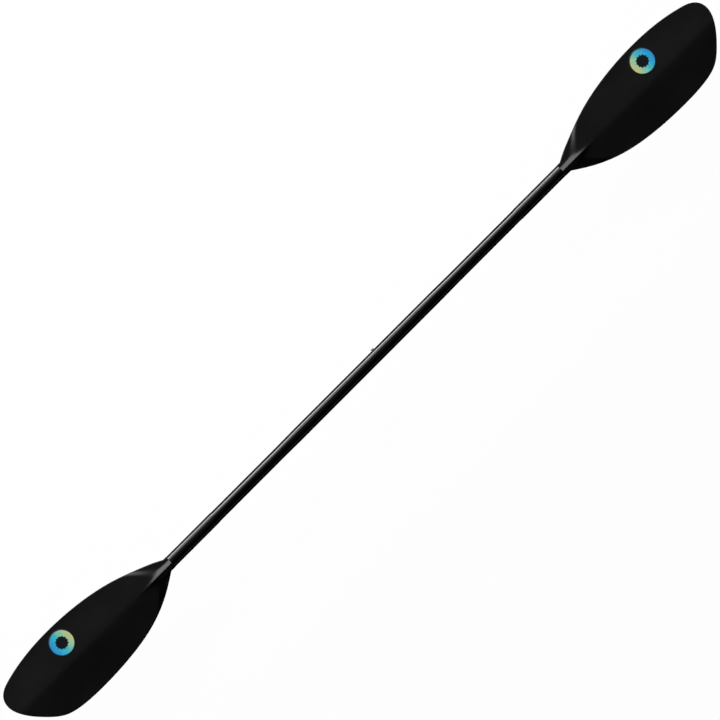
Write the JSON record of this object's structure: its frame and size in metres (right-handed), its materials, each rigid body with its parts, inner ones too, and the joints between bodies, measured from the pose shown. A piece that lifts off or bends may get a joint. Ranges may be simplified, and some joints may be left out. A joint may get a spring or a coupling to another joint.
{
  "type": "kayak paddle",
  "caption": "Two-piece double-bladed kayak paddle with asymmetric dihedral blades and a push-button ferrule that pulls apart and feathers.",
  "frame": {"origin": "on the shaft's axis, at the seam between the two halves", "axes": "+X along the shaft towards the socket (right) half, +Y in the blades' plane towards their longer edge, +Z out of the power faces"},
  "size_m": [2.2, 0.1765, 0.0362],
  "materials": {
    "blade_nylon": "satin moulded glass-filled nylon",
    "shaft_composite": "black composite tube, glossy between the grips and satin at the ends",
    "ferrule_composite": "ground glass-fibre laminate",
    "liner_composite": "smooth glass-fibre laminate",
    "ring_rubber": "smooth nitrile rubber",
    "button_steel": "turned stainless steel",
    "spring_steel": "rolled spring steel",
    "plug_plastic": "moulded polyethylene",
    "bulkhead_foam": "closed-cell foam",
    "badge_print": "printed vinyl in blue, teal and yellow"
  },
  "bodies": {
    "left_half": {"left_blade": "blade_nylon", "left_badge": "badge_print", "left_shaft": "shaft_composite", "male_ferrule": "ferrule_composite", "ferrule_end_plug": "plug_plastic", "button_spring": "spring_steel", "left_foam_plug": "bulkhead_foam"},
    "button": {"snap_button": "button_steel"},
    "oring": {"ferrule_oring": "ring_rubber"},
    "right_half": {"right_blade": "blade_nylon", "right_badge": "badge_print", "right_shaft": "shaft_composite", "female_ferrule": "liner_composite", "right_foam_plug": "bulkhead_foam"}
  },
  "joints": [
    {"name": "button_press", "type": "slide", "parent": "left_half", "child": "button", "axis": [0, -1, 0], "range_m": [0, 0.0078], "stiffness_N_per_m": 2500, "springref_m": -0.003, "deforming": ["button_spring"]},
    {"name": "feather_turn", "type": "hinge", "parent": "left_half", "child": "oring", "pos_m": [0, 0, 0], "axis": [1, 0, 0], "range_deg": [0, 60], "deforming": ["snap_button"]},
    {"name": "pull_apart", "type": "slide", "parent": "oring", "child": "right_half", "axis": [1, 0, 0], "range_m": [0, 0.15], "deforming": ["snap_button"]}
  ]
}
